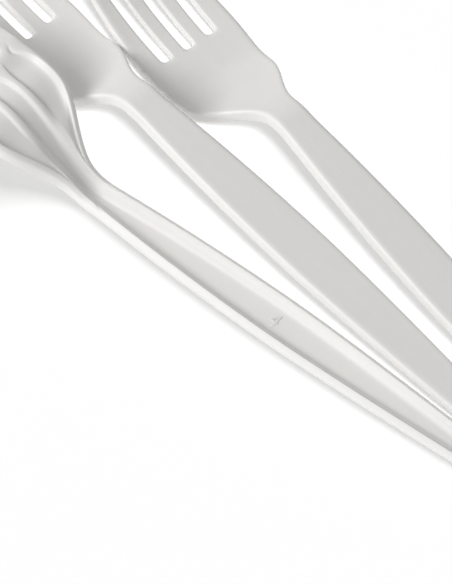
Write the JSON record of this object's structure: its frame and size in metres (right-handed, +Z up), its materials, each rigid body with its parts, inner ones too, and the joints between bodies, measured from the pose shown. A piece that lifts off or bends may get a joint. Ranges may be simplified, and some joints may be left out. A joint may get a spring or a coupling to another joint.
{
  "type": "plastic cutlery pack",
  "caption": "Loose moulded plastic forks fanned out side by side, one upside down, with ribbed channel undersides, dished bowls and round-rooted tines.",
  "frame": {"origin": "middle of the fan's box in plan, on the table under the forks", "axes": "+Z up from the table; +X to the right along the fan, towards the handles' ends; +Y away from the viewer, towards the tines of the right fork"},
  "size_m": [0.1582, 0.1284, 0.0155],
  "materials": {
    "plastic": "semi-gloss moulded off-white, soft highlights on rounded edges"
  },
  "bodies": {
    "root": {"fork_right": "plastic", "fork_middle": "plastic", "fork_upside_down": "plastic"}
  },
  "joints": []
}
